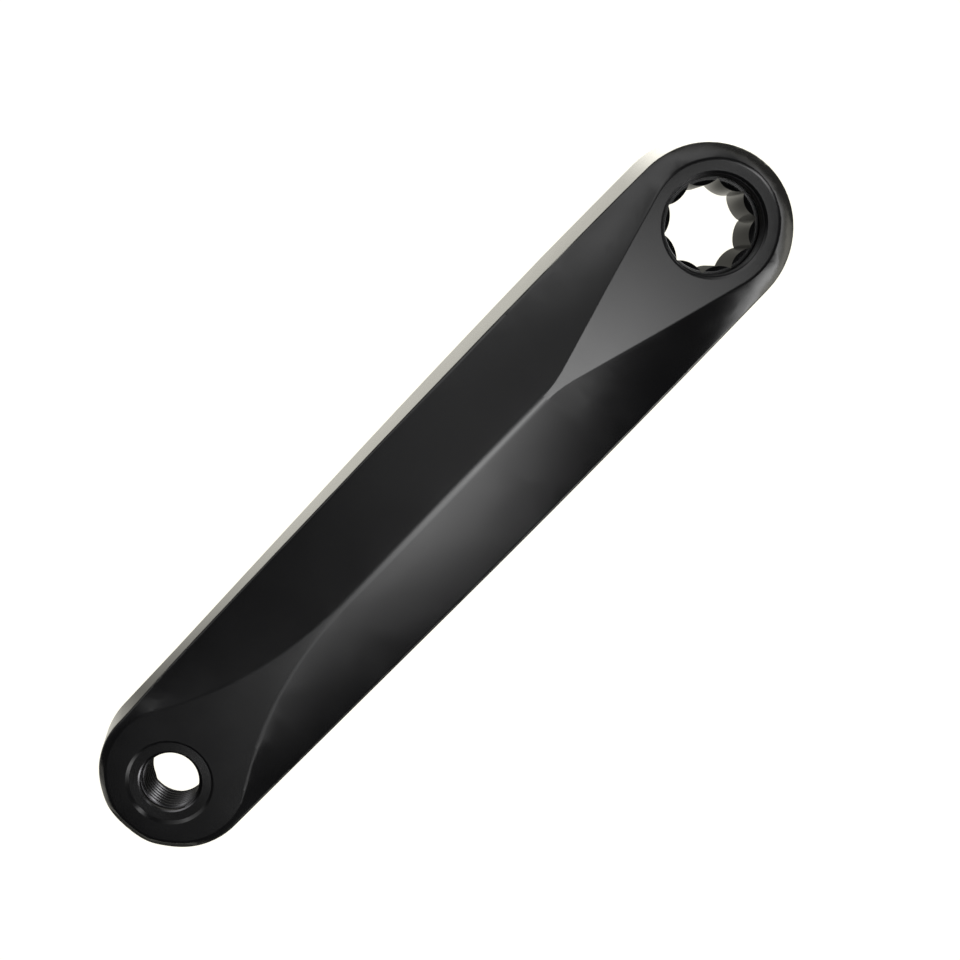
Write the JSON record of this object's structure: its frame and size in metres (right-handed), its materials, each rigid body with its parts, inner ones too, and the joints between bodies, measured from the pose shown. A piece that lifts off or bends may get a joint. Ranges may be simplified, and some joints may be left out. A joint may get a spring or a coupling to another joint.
{
  "type": "bicycle crank arm",
  "caption": "One-piece black crank arm with a ridged, tapering outer face, a splined spindle socket under a threaded counterbore, and a threaded pedal eye.",
  "frame": {"origin": "on the spindle axis, in the plane of the hub's inner face", "axes": "+X along the arm from the spindle to the pedal, +Z along the spindle towards the outer side"},
  "size_m": [0.2121, 0.0426, 0.026],
  "materials": {
    "arm": "black satin coat on forged aluminium"
  },
  "bodies": {
    "root": {"crank_arm": "arm"}
  },
  "joints": []
}
